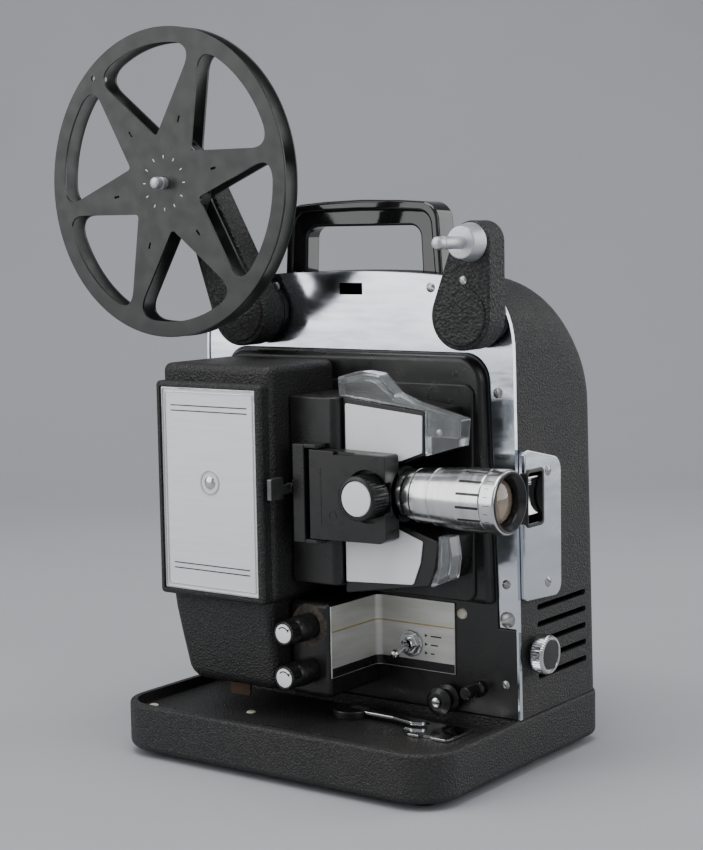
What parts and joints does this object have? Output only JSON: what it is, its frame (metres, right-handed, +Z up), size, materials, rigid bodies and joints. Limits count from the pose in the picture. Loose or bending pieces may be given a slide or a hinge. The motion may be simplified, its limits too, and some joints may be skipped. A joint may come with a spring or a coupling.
{
  "type": "film projector",
  "caption": "Table-top film projector with a lamp house, a swing-out lens gate, film guides, fold-down reel arms and a reel, on a tray base.",
  "frame": {"origin": "middle of the bounding box's underside, on the table", "axes": "+Z up, +X the way the lens points, -Y the operator's side where the film is threaded"},
  "size_m": [0.317, 0.1794, 0.417],
  "materials": {
    "wrinkle_paint": "black wrinkle enamel on die-cast and pressed metal",
    "smooth_black_paint": "semi-gloss black enamel",
    "polished_aluminium": "polished",
    "satin_silver": "fine satin, horizontally brushed",
    "white_panel": "pale satin enamel",
    "label_metal": "brushed, slightly yellowed lacquer",
    "chrome": "bright plated",
    "bright_steel": "turned steel",
    "motor_steel": "grey painted steel",
    "black_plastic": "moulded, gloss",
    "reel_black": "gloss black enamel",
    "clear_plastic": "clear moulded plastic",
    "clear_glass": "clear, polished",
    "foot_rubber": "matt",
    "belt_rubber": "matt"
  },
  "bodies": {
    "case": {"trim_plate": "polished_aluminium", "mechanism_plate": "smooth_black_paint", "rear_cover": "wrinkle_paint", "base_tray": "wrinkle_paint", "foot_front_left": "foot_rubber", "foot_front_right": "foot_rubber", "foot_rear_left": "foot_rubber", "foot_rear_right": "foot_rubber", "film_trimmer_plate": "chrome", "film_trimmer_boss": "black_plastic", "handle": "black_plastic", "side_plate": "polished_aluminium", "lamp_house_lower": "wrinkle_paint", "lamp_socket": "bright_steel", "projection_lamp": "clear_glass", "shutter_housing": "smooth_black_paint", "condenser_lens": "clear_glass", "drive_motor": "motor_steel", "drive_belt": "belt_rubber", "upper_film_guide": "smooth_black_paint", "lower_film_guide": "smooth_black_paint", "upper_guide_panel": "white_panel", "lower_guide_panel": "white_panel", "upper_film_chute": "clear_plastic", "lower_film_chute": "clear_plastic", "lens_hinge_bracket": "smooth_black_paint", "knob_bracket": "smooth_black_paint", "label_panel": "label_metal", "toggle_nut": "chrome", "roller_axle": "chrome", "guide_post": "black_plastic", "supply_arm_boss": "smooth_black_paint", "take_up_arm_boss": "smooth_black_paint"},
    "lamp_cover": {"lamp_house_cover": "wrinkle_paint", "name_panel": "satin_silver"},
    "selector": {"selector_lever": "smooth_black_paint"},
    "lens_gate": {"lens_carrier": "smooth_black_paint"},
    "lens": {"lens_barrel": "chrome", "lens_front_ring": "black_plastic", "lens_glass": "clear_glass"},
    "focus": {"focus_knob": "black_plastic"},
    "upper_control": {"upper_control_knob": "black_plastic"},
    "lower_control": {"lower_control_knob": "black_plastic"},
    "toggle": {"toggle_lever": "chrome"},
    "roller": {"film_roller": "black_plastic"},
    "trimmer_arm": {"film_trimmer_arm": "chrome"},
    "leg": {"elevating_leg": "bright_steel"},
    "elevation": {"elevation_knob": "chrome"},
    "shutter_shaft": {"main_shaft": "bright_steel", "shutter_disc": "bright_steel"},
    "side_rocker": {"side_rocker": "chrome"},
    "rotor": {"motor_rotor": "bright_steel"},
    "sprocket": {"film_sprocket": "bright_steel"},
    "supply_arm": {"supply_arm": "wrinkle_paint"},
    "supply_spindle": {"supply_spindle": "chrome"},
    "take_up_arm": {"take_up_arm": "wrinkle_paint"},
    "reel": {"take_up_spindle": "chrome", "reel_front_flange": "reel_black", "reel_rear_flange": "reel_black", "reel_core": "reel_black"}
  },
  "joints": [
    {"name": "lamp_cover_pull", "type": "slide", "parent": "case", "child": "lamp_cover", "axis": [0, -1, 0], "range_m": [0, 0.075]},
    {"name": "selector_turn", "type": "hinge", "parent": "case", "child": "selector", "pos_m": [0.02503, -0.05535, 0.158], "axis": [1, 0, 0], "range_deg": [-15, 15]},
    {"name": "lens_gate_swing", "type": "hinge", "parent": "case", "child": "lens_gate", "pos_m": [0.04503, -0.05725, 0.157], "axis": [0, 0, -1], "range_deg": [0, 90]},
    {"name": "lens_focus", "type": "slide", "parent": "lens_gate", "child": "lens", "axis": [1, 0, 0], "range_m": [-0.003, 0.006]},
    {"name": "focus_knob_turn", "type": "hinge", "parent": "lens_gate", "child": "focus", "pos_m": [0.08103, -0.06375, 0.158], "axis": [0, 1, 0], "range_deg": [-60, 120]},
    {"name": "upper_control_turn", "type": "hinge", "parent": "case", "child": "upper_control", "pos_m": [0.03053, -0.06175, 0.0798], "axis": [0, 1, 0], "range_deg": [-135, 135]},
    {"name": "lower_control_turn", "type": "hinge", "parent": "case", "child": "lower_control", "pos_m": [0.03053, -0.06175, 0.055], "axis": [0, 1, 0], "range_deg": [-135, 135]},
    {"name": "toggle_flip", "type": "hinge", "parent": "case", "child": "toggle", "pos_m": [0.06873, -0.00735, 0.066], "axis": [-1, 0, 0], "range_deg": [0, 26]},
    {"name": "roller_spin", "type": "hinge", "parent": "case", "child": "roller", "pos_m": [0.09453, -0.01125, 0.0384], "axis": [0, 1, 0], "continuous": true},
    {"name": "trimmer_lift", "type": "hinge", "parent": "case", "child": "trimmer_arm", "pos_m": [0.04103, -0.02375, 0.0281], "axis": [0, -1, 0], "range_deg": [0, 20]},
    {"name": "leg_extend", "type": "slide", "parent": "case", "child": "leg", "axis": [0, 0, -1], "range_m": [0, 0.025]},
    {"name": "elevation_turn", "type": "hinge", "parent": "case", "child": "elevation", "pos_m": [0.13903, 0.01425, 0.0655], "axis": [-1, 0, 0], "range_deg": [0, 252]},
    {"name": "shutter_spin", "type": "hinge", "parent": "case", "child": "shutter_shaft", "pos_m": [0.06903, 0.00825, 0.158], "axis": [1, 0, 0], "continuous": true},
    {"name": "side_rocker_tip", "type": "hinge", "parent": "case", "child": "side_rocker", "pos_m": [0.13203, 0.00905, 0.154], "axis": [0, 1, 0], "range_deg": [-8, 8]},
    {"name": "rotor_spin", "type": "hinge", "parent": "case", "child": "rotor", "pos_m": [0.02903, 0.04625, 0.085], "axis": [1, 0, 0], "continuous": true},
    {"name": "sprocket_spin", "type": "hinge", "parent": "case", "child": "sprocket", "pos_m": [0.08703, -0.02175, 0.19], "axis": [0, 1, 0], "continuous": true},
    {"name": "supply_arm_fold", "type": "hinge", "parent": "case", "child": "supply_arm", "pos_m": [0.11643, -0.01525, 0.2526], "axis": [0, -1, 0], "range_deg": [0, 100]},
    {"name": "supply_spindle_spin", "type": "hinge", "parent": "supply_arm", "child": "supply_spindle", "pos_m": [0.12365, -0.03675, 0.29194], "axis": [0, 1, 0], "continuous": true},
    {"name": "take_up_arm_fold", "type": "hinge", "parent": "case", "child": "take_up_arm", "pos_m": [-0.03597, -0.01525, 0.2526], "axis": [0, 1, 0], "range_deg": [0, 50]},
    {"name": "reel_spin", "type": "hinge", "parent": "take_up_arm", "child": "reel", "pos_m": [-0.06953, -0.04175, 0.32797], "axis": [0, 1, 0], "continuous": true}
  ],
  "couplings": [
    {"joint": "focus_knob_turn", "follows": "lens_focus", "rad_per_m": 349.07},
    {"joint": "elevation_turn", "follows": "leg_extend", "rad_per_m": 175.44},
    {"joint": "rotor_spin", "follows": "shutter_spin", "ratio": 1.24},
    {"joint": "sprocket_spin", "follows": "shutter_spin", "ratio": 0.083333}
  ]
}
